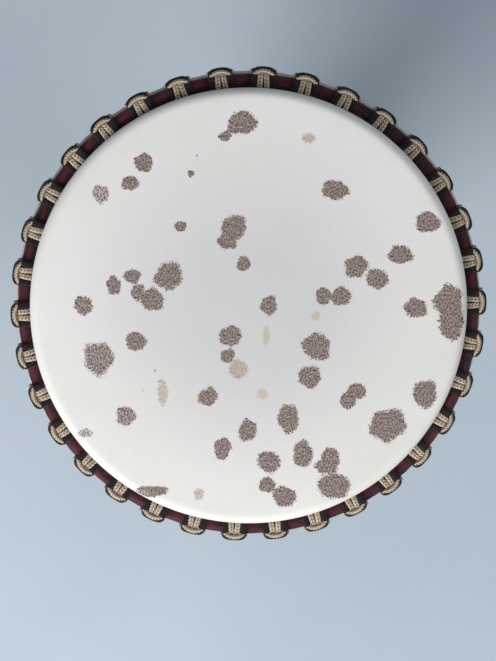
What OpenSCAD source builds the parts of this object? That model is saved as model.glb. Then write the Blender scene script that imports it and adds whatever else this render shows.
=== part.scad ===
// Rope-tuned goblet hand drum: carved shell, goatskin head, three rings, hitched cords and tension rope.
// Row frame: +Z along the drum's axis, origin at the centre of the foot's underside.

/* [Shell] */
// Height of the wooden shell, foot to bearing edge
shell_h = 619; // [560:1:680]
// Outer radius of the bowl at the bearing edge
rim_r = 164; // [140:1:200]
// Outer radius of the throat, the narrowest place
throat_r = 81; // [66:1:90]
// Height of the throat
throat_z = 285; // [240:1:310]
// Outer radius of the foot
foot_r = 126; // [108:1:152]
// Radius of the bore through the throat
bore_r = 50; // [38:1:58]
// Wall thickness at the bearing edge
rim_wall = 14; // [12:0.5:20]
// Wall thickness at the foot
foot_wall = 16; // [12:0.5:22]
// Rounding of the bearing edge outside
edge_round = 7; // [4:0.5:8]

/* [Head] */
// Thickness of the goatskin
skin_t = 1; // [0.6:0.1:1.6]
// Thickness of the hide where it is gathered round the flesh ring
hide_t = 1.5; // [1:0.1:2.5]

/* [Rings] */
// Radius of the steel bar of all three rings
bar_r = 4; // [3:0.5:5]
// Thickness of the cloth wound on the crown and base rings
cloth_t = 0.8; // [0.4:0.1:1.5]
// Depth of the crown ring's centre below the playing surface
crown_drop = 20; // [16:1:32]
// Free space between the skin and the cords that pass inside the crown ring
crown_gap = 0.7; // [0.4:0.1:3]
// How far the flesh ring stands outside the crown ring
flesh_out = 1.6; // [0.8:0.2:4]
// Place of the base ring's seat along the bowl, from the throat to the belly
base_seat = 0.4; // [0.3:0.02:0.5]

/* [Cords] */
// Number of hitches on each ring
hitches = 34; // [26:1:36]
// Width of a hitch cord pressed flat on a ring
cord_w = 4.3; // [3.4:0.1:4.6]
// Thickness of a hitch cord pressed flat on a ring
cord_t = 2.8; // [2:0.1:3.2]
// Diameter of the tension rope
rope_d = 4.8; // [4:0.1:5.6]
// Length of the crown loops below the crown ring's centre
crown_loop = 38; // [36:1:50]
// Length of the base loops above the base ring's centre
base_loop = 27; // [25:1:34]
// Height of the woven row on the bowl
weave_z = 440; // [425:1:455]
// Width of a woven diamond, as a part of the hitches' spacing
diamond = 0.46; // [0.3:0.02:0.6]

/* [Foot] */
// Thickness of the rubber strip round the foot
rubber_t = 4; // [3:0.5:6]
// Height of the rubber strip
rubber_h = 26; // [20:1:36]
// Number of tacks that hold the strip
tacks = 16; // [10:1:24]
// Radius of a tack's head
tack_r = 4; // [3:0.5:5]

/* [Hidden] */
$fn = 96;

// Clearance that keeps solids which touch from sharing volume
touch = 0.05;
// Clearance between the tension rope and what it lies against
slack = 0.2;
// Clearance between a wrapped ring and the cords that go round it
wrap_gap = 0.15;
// Clearance between a ring's cords and the hide under them or the bowl behind them
seat_gap = 0.3;
head_z = shell_h + touch + skin_t;
step_deg = 360 / hitches;

// ---- curves ----
function mix(a, b, k) = a + (b - a) * k;
function bezier(p, k) = mix(mix(mix(p[0], p[1], k), mix(p[1], p[2], k), k),
                            mix(mix(p[1], p[2], k), mix(p[2], p[3], k), k), k);
function bezier_dir(p, k) =
    let (d = mix(mix(p[1] - p[0], p[2] - p[1], k), mix(p[2] - p[1], p[3] - p[2], k), k)) d / norm(d);
function sampled(p, n, first) = [for (i = [first:n]) bezier(p, i / n)];
function arc(c, r, a0, a1, n) = [for (i = [0:n]) c + r * [cos(mix(a0, a1, i / n)), sin(mix(a0, a1, i / n))]];
function polar(r, a, z) = [r * cos(a), r * sin(a), z];

// ---- shell outline, as [radius, height] ----
bowl_h = shell_h - throat_z;
edge_z = shell_h - edge_round;
// Inward slopes of the wall, in radius for each unit of height: under the edge, at the belly and at the foot
rim_slope = 0.13;
belly_slope = 0.2;
foot_slope = 0.12;
foot_band = rubber_h + 3;
belly = [rim_r - 0.073 * bowl_h, throat_z + 0.525 * bowl_h];
foot_top = [foot_r - foot_slope * foot_band, foot_band];
// Reach of the curves' handles: over the foot, under and over the throat, under and over the belly
foot_reach = 0.18 * throat_z;
stem_reach = 0.55 * throat_z;
throat_reach = 0.135 * bowl_h;
belly_reach = 0.225 * bowl_h;
side_reach = 0.15 * bowl_h;
stem_out = [foot_top, foot_top + foot_reach * [-foot_slope, 1], [throat_r, throat_z - stem_reach],
            [throat_r, throat_z]];
bowl_out = [[throat_r, throat_z], [throat_r, throat_z + throat_reach],
            belly - belly_reach * [belly_slope, 1], belly];
side_out = [belly, belly + side_reach * [belly_slope, 1], [rim_r, edge_z] - side_reach * [rim_slope, 1],
            [rim_r, edge_z]];

// ---- hollow outline ----
inner_rim_r = rim_r - rim_wall;
// Rounding of the bearing edge inside
inner_round = 4;
// The bore's narrowest place stands a little above the throat.
bore_z = throat_z + 12;
// Wall at the belly, as [radius, height], and the hollow's slopes under it and over it
belly_wall = [16, 8];
bowl_slope = 0.36;
side_slope = 0.14;
inner_belly = belly - belly_wall;
inner_foot_r = foot_r - foot_wall;
// How far the hollow narrows in its first quarter of the stem
foot_narrowing = 12;
stem_in = [[inner_foot_r, 0], [inner_foot_r - foot_narrowing, throat_z / 4], [bore_r, throat_z / 2],
           [bore_r, bore_z]];
bowl_in = [[bore_r, bore_z], [bore_r, bore_z + side_reach], inner_belly - belly_reach * [bowl_slope, 1],
           inner_belly];
side_in = [inner_belly, inner_belly + side_reach * [side_slope, 1], [inner_rim_r, shell_h - side_reach],
           [inner_rim_r, shell_h - inner_round]];

module shell() {
    outline = concat([[foot_r, 0]], sampled(stem_out, 14, 0), sampled(bowl_out, 12, 1),
                     sampled(side_out, 6, 1),
                     arc([rim_r - edge_round, edge_z], edge_round, 12, 90, 6),
                     arc([inner_rim_r + inner_round, shell_h - inner_round], inner_round, 90, 168, 4));
    hollow = concat(sampled(stem_in, 12, 0), sampled(bowl_in, 10, 1), sampled(side_in, 5, 1));
    color("saddlebrown")
        rotate_extrude()
            polygon(concat(outline, [for (i = [len(hollow) - 1:-1:0]) hollow[i]]));
}

// ---- rings ----
wrapped_r = bar_r + cloth_t;
leg_mid = wrapped_r + wrap_gap + cord_t / 2;
leg_out = wrapped_r + wrap_gap + cord_t;
crown_z = head_z - crown_drop;
wall_at_crown = rim_r - rim_slope * (edge_z - crown_z);
crown_r = wall_at_crown + skin_t + crown_gap + leg_out;
hide_r = bar_r + touch + hide_t;
flesh_z = crown_z - leg_out - hide_r - seat_gap;
flesh_r = crown_r + flesh_out;

// The base ring bears on the bowl through the cords that pass behind it.
base_span = leg_out + seat_gap;
seat = bezier(bowl_out, base_seat);
seat_dir = bezier_dir(bowl_out, base_seat);
base_r = seat[0] + seat_dir[1] * base_span;
base_z = seat[1] - seat_dir[0] * base_span;

module steel_ring(r, z) {
    color("dimgray")
        translate([0, 0, z])
            rotate_extrude()
                translate([r, 0])
                    circle(r = bar_r);
}

module ring_cloth(r, z) {
    color("maroon")
        translate([0, 0, z])
            rotate_extrude()
                translate([r, 0])
                    difference() {
                        circle(r = wrapped_r);
                        circle(r = bar_r + touch);
                    }
}

// ---- goatskin: flat head, rounded over the edge, down the bowl, then round the flesh ring ----
edge_mid = edge_round + touch + skin_t / 2;
collar_dir = [-rim_slope, -1] / norm([rim_slope, 1]);
collar_top = arc([rim_r - edge_round, edge_z], edge_mid, 90, -atan(rim_slope), 8);
// The straight collar ends this far above the crown ring's centre, then turns slowly away from the wall.
collar_above = 6;
collar_turn = 7;
// Angles round the flesh ring at which the hide meets it and ends
hide_from = 215;
hide_to = 470;
collar_end = collar_top[8] + collar_dir * (crown_drop - edge_round - collar_above);
hide_mid = bar_r + touch + hide_t / 2;
hide_start = [flesh_r, flesh_z] + hide_mid * [cos(hide_from), sin(hide_from)];
turn_in = [[collar_end, skin_t / 2],
           [collar_end + collar_dir * collar_turn + [skin_t / 2, 0], skin_t / 2],
           [mix(collar_end + collar_dir * 2 * collar_turn, hide_start, 0.35), skin_t / 2]];
turn_round = [for (p = arc([flesh_r, flesh_z], hide_mid, hide_from, hide_to, 18)) [p, hide_t / 2]];
skin_path = concat([[[0, shell_h + touch + skin_t / 2], skin_t / 2]],
                   [for (p = collar_top) [p, skin_t / 2]], turn_in, turn_round);

function path_normal(path, i) =
    let (a = path[max(0, i - 1)][0], b = path[min(len(path) - 1, i + 1)][0], d = (b - a) / norm(b - a))
    [-d[1], d[0]];
function path_side(path, side) =
    [for (i = [0:len(path) - 1]) path[i][0] + side * path[i][1] * path_normal(path, i)];

module drum_head() {
    inner = path_side(skin_path, -1);
    color("ivory")
        rotate_extrude()
            polygon(concat(path_side(skin_path, 1), [for (i = [len(inner) - 1:-1:0]) inner[i]]));
}

// ---- the line that the cords and the tension rope follow, as [radius, height] ----
// Free space between two cords that lie side by side
cord_gap = 0.5;
// Free space between the tension rope and the bowl, and between the rope and the loop that it hooks into
row_gap = 0.7;
hook_gap = 0.6;
// The strands lean, so each layer of rope is a little thicker than the rope.
rope_layer = (rope_d + slack) * 1.06;
rope_hook = cord_t / 2 + slack + rope_d / 2;
function bowl_r(z) =
    lookup(z, [for (p = concat(sampled(bowl_out, 12, 0), sampled(side_out, 6, 1))) [p[1], p[0]]]);
row = [bowl_r(weave_z) + rope_layer + rope_d / 2 + row_gap, weave_z];

// Angle at which a line from point p leaves a circle, on the side away from the drum.
function leave_angle(centre, r, p, up) =
    let (d = p - centre) atan2(d[1], d[0]) + up * acos(r / norm(d));
function on_circle(centre, r, a) = centre + r * [cos(a), sin(a)];

hip_r = hide_r + touch + cord_t / 2;
hip_touch = on_circle([flesh_r, flesh_z], hip_r, leave_angle([flesh_r, flesh_z], hip_r, row, 1));
crown_dir = (row - hip_touch) / norm(row - hip_touch);
// Straight runs of the legs past the hide and past the base ring
crown_pass = 3;
base_run = 4;
crown_hip = hip_touch - crown_dir * crown_pass;
crown_leave = leave_angle([crown_r, crown_z], leg_mid, crown_hip, 1);
crown_run = norm(crown_hip - on_circle([crown_r, crown_z], leg_mid, crown_leave));

base_leave = leave_angle([base_r, base_z], leg_mid, row, -1);
base_touch = on_circle([base_r, base_z], leg_mid, base_leave);
base_dir = (row - base_touch) / norm(row - base_touch);
base_hip = base_touch + base_dir * base_run;

// ---- cords tied on a ring ----
// Section of a cord pressed flat: x is its thickness and y its width.
module flat_cord() {
    corner = 0.35 * cord_t;
    flat = cord_w / 2 - corner;
    polygon([[cord_t / 2, -flat], [cord_t / 2, flat], [0, cord_w / 2], [-cord_t / 2, flat],
             [-cord_t / 2, -flat], [0, -cord_w / 2]]);
}

// Angle round the ring, over it and down behind it, at which a leg ends
leg_end = 276;
// Angles round the ring at which the bights lie
tan_bight = 52;
black_bight = 17;
base_bight = 25;

// One leg goes over the ring from behind, then runs straight to the hip; x points away from the drum.
module leg(leave, run) {
    rotate([90, 0, 0])
        rotate([0, 0, leave]) {
            rotate_extrude(angle = leg_end - leave)
                translate([leg_mid, 0])
                    flat_cord();
            translate([leg_mid, 0, 0])
                rotate([90, 0, 0])
                    linear_extrude(height = run + cord_t / 2)
                        flat_cord();
        }
}

// The bight lies across the legs, outside them.
module bight(angle, half) {
    rotate([0, -angle, 0])
        translate([leg_mid + cord_t + 2 * touch, half, 0])
            rotate([90, 0, 0])
                linear_extrude(height = 2 * half)
                    flat_cord();
}

// A loop hangs between two hitches: two straight sides and a half circle, in a plane that faces outwards.
module loop(r, side) {
    rotate([-90, 0, 90])
        rotate_extrude(angle = 180)
            translate([r, 0])
                rotate([0, 0, 90])
                    flat_cord();
    for (y = [r, -r])
        translate([0, y, 0])
            linear_extrude(height = side)
                flat_cord();
}

// All hitches of one cord on one ring, with the loops between them.
// centre, hip and dir are [radius, height]; up is 1 on a ring whose loops hang and -1 where they stand.
// turn is a leg's angle from the hitch's middle, sink the way from the hip to the centre of a loop's end.
module hitch_chain(centre, hip, dir, up, leave, run, turn, sink, angle, half) {
    end = loop_line(hip) + dir * sink;
    for (i = [0:hitches - 1])
        rotate([0, 0, i * step_deg]) {
            for (a = [turn, -turn])
                rotate([0, 0, a])
                    on_ring(centre, up)
                        leg(leave, run);
            on_ring(centre, up)
                bight(angle, half);
            rotate([0, 0, step_deg / 2])
                on_ring(end, up)
                    rotate([0, up * atan(dir[0] / dir[1]), 0])
                        loop(hip[0] * sin(step_deg / 2 - turn), sink + cord_t / 2);
        }
}

module on_ring(at, up) {
    translate([at[0], 0, at[1]])
        mirror([0, 0, up > 0 ? 0 : 1])
            children();
}

// Where the loops' plane stands at the height of the hips.
function loop_line(hip) = [hip[0] * cos(step_deg / 4), hip[1]];

// Place of a leg, counted from the hitch's middle along the ring.
inner_y = (cord_w + cord_gap) / 2;
outer_y = 3 * inner_y;
crown_inner = inner_y / crown_r * 180 / PI;
crown_outer = outer_y / crown_r * 180 / PI;
base_inner = inner_y / base_r * 180 / PI;

crown_loop_r = crown_hip[0] * sin(step_deg / 2 - crown_outer);
crown_sink = (crown_hip[1] - crown_z + crown_loop) / -crown_dir[1] - crown_loop_r;
base_loop_r = base_hip[0] * sin(step_deg / 2 - base_inner);
base_sink = (base_z + base_loop - base_hip[1]) / base_dir[1] - base_loop_r;

module crown_hitches(turn, angle) {
    hitch_chain([crown_r, crown_z], crown_hip, crown_dir, 1, crown_leave, crown_run, turn, crown_sink, angle,
                outer_y + cord_w / 2);
}

module crown_hitches_tan() {
    color("tan")
        crown_hitches(crown_inner, tan_bight);
}

module crown_hitches_black() {
    color("#201b1e")
        crown_hitches(crown_outer, black_bight);
}

module base_hitches() {
    color("tan")
        rotate([0, 0, step_deg / 2])
            hitch_chain([base_r, base_z], base_hip, base_dir, -1, -base_leave, base_run, base_inner,
                        base_sink, base_bight, inner_y + cord_w / 2);
}

// ---- tension rope ----
module rope_run(p, q) {
    d = q - p;
    translate(p)
        rotate([0, acos(d[2] / norm(d)), atan2(d[1], d[0])])
            cylinder(d = rope_d, h = norm(d), $fn = 8);
}

// The rope turns over the end of a loop; up is 1 at the crown and -1 at the base.
module rope_turn(at, dir, up) {
    translate([at[0], 0, at[1]])
        rotate([0, atan(dir[0] / dir[1]), 0])
            rotate([90, 0, 0])
                rotate([0, 0, up > 0 ? 0 : 180])
                    rotate_extrude(angle = 180)
                        translate([rope_hook, 0])
                            rotate([0, 0, 22.5])
                                circle(d = rope_d, $fn = 8);
}

function side_of(at, dir, out) = at + out * rope_hook * [abs(dir[1]), -sign(dir[1]) * dir[0]];
crown_end = loop_line(crown_hip) + crown_dir * crown_sink;
base_end = loop_line(base_hip) + base_dir * base_sink;
crown_turn = crown_end + crown_dir * (crown_loop_r - cord_w / 2 - hook_gap);
base_turn = base_end + base_dir * (base_loop_r - cord_w / 2 - hook_gap);

module tension_rope() {
    color("tan")
        for (k = [0:hitches - 1])
            rotate([0, 0, k * step_deg]) {
                rotate([0, 0, step_deg / 2])
                    rope_turn(crown_turn, crown_dir, 1);
                rope_turn(base_turn, base_dir, -1);
                // out is 1 for the strand in front, which leans one way, and -1 for the one behind.
                for (out = [1, -1]) {
                    top = side_of(crown_turn, crown_dir, out);
                    low = side_of(base_turn, base_dir, out);
                    knee = polar(row[0] + out * rope_layer, -out * diamond * step_deg / 2, row[1]);
                    rope_run(polar(top[0], out * step_deg / 2, top[1]), knee);
                    rope_run(knee, polar(low[0], 0, low[1]));
                }
            }
}

module weave_rope() {
    color("tan")
        translate([0, 0, row[1]])
            rotate_extrude()
                translate([row[0], 0])
                    circle(d = rope_d);
}

// ---- foot ----
module foot_rubber() {
    low = [foot_r + touch, 0];
    high = low + rubber_h * [-foot_slope, 1];
    color("#2a2a2a")
        rotate_extrude()
            polygon([low, low + [rubber_t, 0], high + [rubber_t, 0], high]);
}

module foot_tacks() {
    shank_r = 0.9;
    depth_in_wood = 9;
    shank = rubber_t + depth_in_wood;
    dome = 0.35 * tack_r;
    tilt = atan(foot_slope);
    z = rubber_h / 2;
    color("silver")
        for (i = [0:tacks - 1])
            rotate([0, 0, i * 360 / tacks])
                translate([foot_r + touch + rubber_t - foot_slope * z + touch, 0, z])
                    rotate([0, 90 - tilt, 0]) {
                        rotate_extrude()
                            polygon(concat([[0, 0]],
                                           [for (a = [0:22.5:90]) [tack_r * cos(a), dome * sin(a)]]));
                        translate([0, 0, -shank])
                            cylinder(r = shank_r, h = shank + dome / 2);
                    }
}

shell();
drum_head();
steel_ring(flesh_r, flesh_z);  // flesh_ring
steel_ring(crown_r, crown_z);  // crown_ring
ring_cloth(crown_r, crown_z);  // crown_ring_cloth
crown_hitches_tan();
crown_hitches_black();
steel_ring(base_r, base_z);  // base_ring
ring_cloth(base_r, base_z);  // base_ring_cloth
base_hitches();
tension_rope();
weave_rope();
foot_rubber();
foot_tacks();
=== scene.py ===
"""Looks of a rope-tuned goblet hand drum, built around its fixed frame.

Lengths are in metres, and +Z is the drum's axis.
"""

import logging
import math
from collections.abc import Iterator, Sequence
from contextlib import contextmanager
from dataclasses import dataclass, field
from enum import Enum

import bpy
import numpy as np
from mathutils import Matrix, Vector


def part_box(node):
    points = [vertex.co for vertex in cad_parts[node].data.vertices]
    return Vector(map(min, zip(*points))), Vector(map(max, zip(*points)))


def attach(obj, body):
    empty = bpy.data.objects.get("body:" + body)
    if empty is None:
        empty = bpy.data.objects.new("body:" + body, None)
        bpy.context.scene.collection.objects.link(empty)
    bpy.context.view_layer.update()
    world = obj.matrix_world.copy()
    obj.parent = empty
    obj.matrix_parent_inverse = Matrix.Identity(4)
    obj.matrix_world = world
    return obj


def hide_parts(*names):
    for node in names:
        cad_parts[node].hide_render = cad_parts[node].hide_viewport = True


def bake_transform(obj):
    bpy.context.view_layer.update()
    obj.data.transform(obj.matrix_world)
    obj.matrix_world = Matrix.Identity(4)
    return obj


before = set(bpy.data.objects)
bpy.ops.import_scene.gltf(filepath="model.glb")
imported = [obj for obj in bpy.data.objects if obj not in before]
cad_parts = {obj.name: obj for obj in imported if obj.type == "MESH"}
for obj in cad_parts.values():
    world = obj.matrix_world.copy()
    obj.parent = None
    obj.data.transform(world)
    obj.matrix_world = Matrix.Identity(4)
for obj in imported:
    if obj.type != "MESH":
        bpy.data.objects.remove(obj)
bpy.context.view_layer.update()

logging.basicConfig(level=logging.INFO, format="%(message)s")
log = logging.getLogger("drum")

MM = 0.001
HITCHES = 34
STEP = 2 * math.pi / HITCHES
# Turn of the camera against the drum's hitches.
CAMERA_ROLL = math.radians(1.6)
SEED = 7
# Radius and height of the woven row of rope, where the strands bend.
ROW = (143.1 * MM, 440 * MM)
# Thickness of the hide on the flesh ring, and the least gap between pieces that touch.
HIDE = 1.5 * MM
TOUCH = 0.05 * MM

Piece = bpy.types.Object
# Radius and height of each point of an outline.
Outline = list[tuple[float, float]]
# Keys of a cord's path: radius, turn and height, and where the cord is flat its normal and its width.
Rows = list[list[float]]


class Body(Enum):
    """Bodies of the frame that pieces ride on."""

    SHELL = "shell"
    HOOPS = "hoops"


# ---------------------------------------------------------------- frame places


@dataclass(frozen=True)
class Ring:
    """Place of one steel ring: its radius, its height and the radius of its bar."""

    radius: float
    z: float
    bar: float

    @classmethod
    def of(cls, node: str) -> "Ring":
        """Reads a ring's place from a node of the frame.

        Args:
            node: name of the ring's node.

        Returns:
            The ring's place.
        """
        low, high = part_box(node)
        bar = (high.z - low.z) / 2
        return cls(radius=high.x - bar, z=(high.z + low.z) / 2, bar=bar)

    def around(self, angle: float, distance: float, up: int = 1) -> tuple[float, float]:
        """A point round the bar, in the plane of the drum's axis.

        Args:
            angle: degrees from the outward direction, towards the side that up names.
            distance: distance from the bar's centre.
            up: 1 when 90 degrees is above the ring, -1 when it is below.

        Returns:
            The point's radius from the drum's axis and its height.
        """
        turn = math.radians(angle)
        return self.radius + distance * math.cos(turn), self.z + up * distance * math.sin(turn)


# ---------------------------------------------------------------- modelling helpers


def deselect() -> None:
    """Leaves object mode with nothing selected."""
    if bpy.context.object and bpy.context.object.mode != "OBJECT":
        bpy.ops.object.mode_set(mode="OBJECT")
    bpy.ops.object.select_all(action="DESELECT")


@contextmanager
def editing(piece: Piece) -> Iterator[None]:
    """Edits one piece with everything in it selected.

    Args:
        piece: the mesh object to edit.

    Returns:
        A context inside which the piece is in edit mode.
    """
    deselect()
    bpy.context.view_layer.objects.active = piece
    piece.select_set(True)
    bpy.ops.object.mode_set(mode="EDIT")
    bpy.ops.mesh.select_all(action="SELECT")
    yield
    bpy.ops.object.mode_set(mode="OBJECT")
    deselect()


def smooth(piece: Piece, angle: float | None = None) -> None:
    """Shades a piece smooth.

    Args:
        piece: the mesh object.
        angle: edges sharper than this many degrees stay sharp, or None to shade all of them smooth.
    """
    deselect()
    bpy.context.view_layer.objects.active = piece
    piece.select_set(True)
    if angle is None:
        bpy.ops.object.shade_smooth()
    else:
        bpy.ops.object.shade_smooth_by_angle(angle=math.radians(angle))
    deselect()


def lathe(name: str, outline: Outline, steps: int, closed: bool = False) -> Piece:
    """Draws an outline by extruding one vertex along it, then spins it round the drum's axis.

    Args:
        name: name of the new piece.
        outline: radius and height of each point.
        steps: number of faces round the axis.
        closed: True joins the last point to the first, for a piece that doesn't reach the axis.

    Returns:
        The turned piece, with its faces outwards.
    """
    deselect()
    bpy.ops.mesh.primitive_plane_add(size=MM)
    piece = bpy.context.object
    piece.name = name
    with editing(piece):
        bpy.ops.mesh.merge(type="CENTER")
        bpy.ops.transform.translate(value=(outline[0][0], 0, outline[0][1]))
        track = list(outline) + ([outline[0]] if closed else [])
        for start, end in zip(track, track[1:]):
            step = (end[0] - start[0], 0, end[1] - start[1])
            bpy.ops.mesh.extrude_region_move(TRANSFORM_OT_translate={"value": step})
        bpy.ops.mesh.select_all(action="SELECT")
        bpy.ops.mesh.spin(steps=steps, angle=2 * math.pi, center=(0, 0, 0), axis=(0, 0, 1))
        bpy.ops.mesh.select_all(action="SELECT")
        bpy.ops.mesh.remove_doubles(threshold=0.01 * MM)
        bpy.ops.mesh.normals_make_consistent(inside=False)
    smooth(piece)
    return piece


def vertices_of(piece: Piece) -> np.ndarray:
    """The piece's vertices as an array of points."""
    points = np.zeros(len(piece.data.vertices) * 3)
    piece.data.vertices.foreach_get("co", points)
    return points.reshape(-1, 3)


def move_vertices(piece: Piece, points: np.ndarray) -> None:
    """Puts the piece's vertices at the given points."""
    piece.data.vertices.foreach_set("co", points.ravel())
    piece.data.update()


def store(piece: Piece, name: str, values: np.ndarray) -> None:
    """Keeps one number for each vertex, which a finish reads as an attribute.

    Args:
        piece: the mesh object.
        name: name of the attribute.
        values: one number for each vertex.
    """
    layer = piece.data.attributes.new(name, "FLOAT", "POINT")
    layer.data.foreach_set("value", values.astype(np.float32))


def bezier(points: Sequence[Sequence[float]], count: int) -> Outline:
    """Divides a cubic curve.

    Args:
        points: the curve's two ends, with its two handles between them.
        count: number of steps.

    Returns:
        The points along the curve, both ends included.
    """
    ends = np.array(points, float)
    share = np.linspace(0, 1, count + 1)[:, None]
    rest = 1 - share
    curve = (rest**3 * ends[0] + 3 * rest**2 * share * ends[1] + 3 * rest * share**2 * ends[2]
             + share**3 * ends[3])
    return [(float(x), float(z)) for x, z in curve]


def arc(centre: Sequence[float], radius: float, start: float, end: float, count: int) -> Outline:
    """Points along a round stretch of an outline, with its angles in degrees."""
    turns = np.radians(np.linspace(start, end, count + 1))
    return [(centre[0] + radius * math.cos(t), centre[1] + radius * math.sin(t)) for t in turns]


def smooth_path(keys: np.ndarray, spacing: float) -> np.ndarray:
    """Runs a smooth curve through keys and divides it evenly.

    Args:
        keys: one row for each key, with its point in the first three columns. The first and the last row
            only steer the curve and aren't on it.
        spacing: distance between the points that come back.

    Returns:
        The rows along the curve, from the second key to the last but one.
    """
    fine = []
    share = np.linspace(0, 1, 12, endpoint=False)[:, None]
    for a, b, c, d in zip(keys, keys[1:], keys[2:], keys[3:]):
        fine.append(0.5 * (2 * b + (c - a) * share + (2 * a - 5 * b + 4 * c - d) * share**2
                           + (3 * b - a - 3 * c + d) * share**3))
    rows = np.vstack(fine + [keys[-2][None, :]])
    length = np.concatenate([[0], np.cumsum(np.linalg.norm(np.diff(rows[:, :3], axis=0), axis=1))])
    places = np.linspace(0, length[-1], max(2, round(length[-1] / spacing)) + 1)
    return np.column_stack([np.interp(places, length, rows[:, i]) for i in range(rows.shape[1])])


def turned(points: np.ndarray, angle: float) -> np.ndarray:
    """Points turned round the drum's axis by an angle in radians."""
    c, s = math.cos(angle), math.sin(angle)
    x, y, z = points.T
    return np.column_stack([c * x - s * y, s * x + c * y, z])


@dataclass(frozen=True)
class Braid:
    """How a braided cord's strands lie: columns of stitches round it, a stitch's length and its relief."""

    columns: int
    stitch: float
    relief: float

    def height(self, along: np.ndarray, around: np.ndarray) -> np.ndarray:
        """Height of the stitches, from 0 to 1.

        Args:
            along: place along the cord, in stitches.
            around: place round the cord, from 0 to 1.

        Returns:
            The height at each place.
        """
        column = around * self.columns
        across = column - np.floor(column) - 0.5
        lean = np.where(np.floor(column) % 2 == 0, 1.0, -1.0)
        return np.abs(np.sin(np.pi * (along + lean * across))) ** 0.7 * np.cos(np.pi * across * 0.8)


def sweep(name: str, points: np.ndarray, normals: np.ndarray, width: np.ndarray, thick: float, sides: int,
          braid: Braid, closed: bool = True) -> Piece:
    """Sweeps the flattened round section of a braided cord along its path.

    Args:
        name: name of the new piece.
        points: the cord's middle line.
        normals: the direction that the cord's thin way faces at each point.
        width: the cord's width at each point.
        thick: the cord's thickness.
        sides: number of faces round the cord.
        braid: how the strands lie.
        closed: True joins the end to the start.

    Returns:
        The mesh tube, with a UV map that counts stitches along it and goes once round it.
    """
    count = len(points)
    if closed:
        along = np.roll(points, -1, axis=0) - np.roll(points, 1, axis=0)
    else:
        along = np.gradient(points, axis=0)
    along /= np.linalg.norm(along, axis=1)[:, None]
    across = np.cross(along, normals)
    across /= np.linalg.norm(across, axis=1)[:, None]
    outward = np.cross(across, along)
    gaps = np.linalg.norm(np.roll(points, -1, axis=0) - points, axis=1)
    total = gaps.sum() if closed else gaps[:-1].sum()
    stitches = max(1, round(total / braid.stitch))
    place = np.concatenate([[0], np.cumsum(gaps)])[: count + 1] / total * stitches
    turn = np.arange(sides) / sides
    a, b = np.cos(2 * np.pi * turn), np.sin(2 * np.pi * turn)
    flat = 0.8
    x = np.sign(a) * np.abs(a) ** flat * thick / 2
    y = np.sign(b) * np.abs(b) ** flat / 2
    lift = 1 + braid.relief * (braid.height(place[:count, None], turn[None, :]) - 0.6)
    rings = (points[:, None, :] + outward[:, None, :] * (x[None, :] * lift)[..., None]
             + across[:, None, :] * (y[None, :] * width[:, None] * lift)[..., None])
    rows = np.arange(count if closed else count - 1)
    here, there = (rows[:, None] * sides, ((rows + 1) % count)[:, None] * sides)
    side, beside = np.arange(sides)[None, :], ((np.arange(sides) + 1) % sides)[None, :]
    faces = np.stack([here + side, there + side, there + beside, here + beside], axis=-1).reshape(-1, 4)
    face_list = faces.tolist()
    u0, u1 = place[rows], place[rows + 1]
    v0, v1 = turn, turn + 1 / sides
    grid = np.empty((len(rows), sides, 4, 2))
    grid[..., 0, 0] = grid[..., 3, 0] = u0[:, None]
    grid[..., 1, 0] = grid[..., 2, 0] = u1[:, None]
    grid[..., 0, 1] = grid[..., 1, 1] = v0[None, :]
    grid[..., 2, 1] = grid[..., 3, 1] = v1[None, :]
    corners = grid.reshape(-1, 2)
    if not closed:
        face_list += [list(range(sides))[::-1], list(range((count - 1) * sides, count * sides))]
        corners = np.vstack([corners, np.zeros((2 * sides, 2))])
    mesh = bpy.data.meshes.new(name)
    mesh.from_pydata(rings.reshape(-1, 3).tolist(), [], face_list)
    layer = mesh.uv_layers.new(name="UVMap")
    layer.data.foreach_set("uv", corners.ravel())
    piece = bpy.data.objects.new(name, mesh)
    bpy.context.scene.collection.objects.link(piece)
    with editing(piece):
        bpy.ops.mesh.normals_make_consistent(inside=False)
    smooth(piece)
    return piece


# ---------------------------------------------------------------- finishes


def colour(red: int, green: int, blue: int) -> tuple[float, float, float, float]:
    """A shader's colour from the 0 to 255 values that a screen shows."""
    shown = [c / 255 for c in (red, green, blue)]
    linear = [c / 12.92 if c <= 0.04045 else ((c + 0.055) / 1.055) ** 2.4 for c in shown]
    return (linear[0], linear[1], linear[2], 1.0)


Socket = bpy.types.NodeSocket
Value = Socket | float


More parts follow.
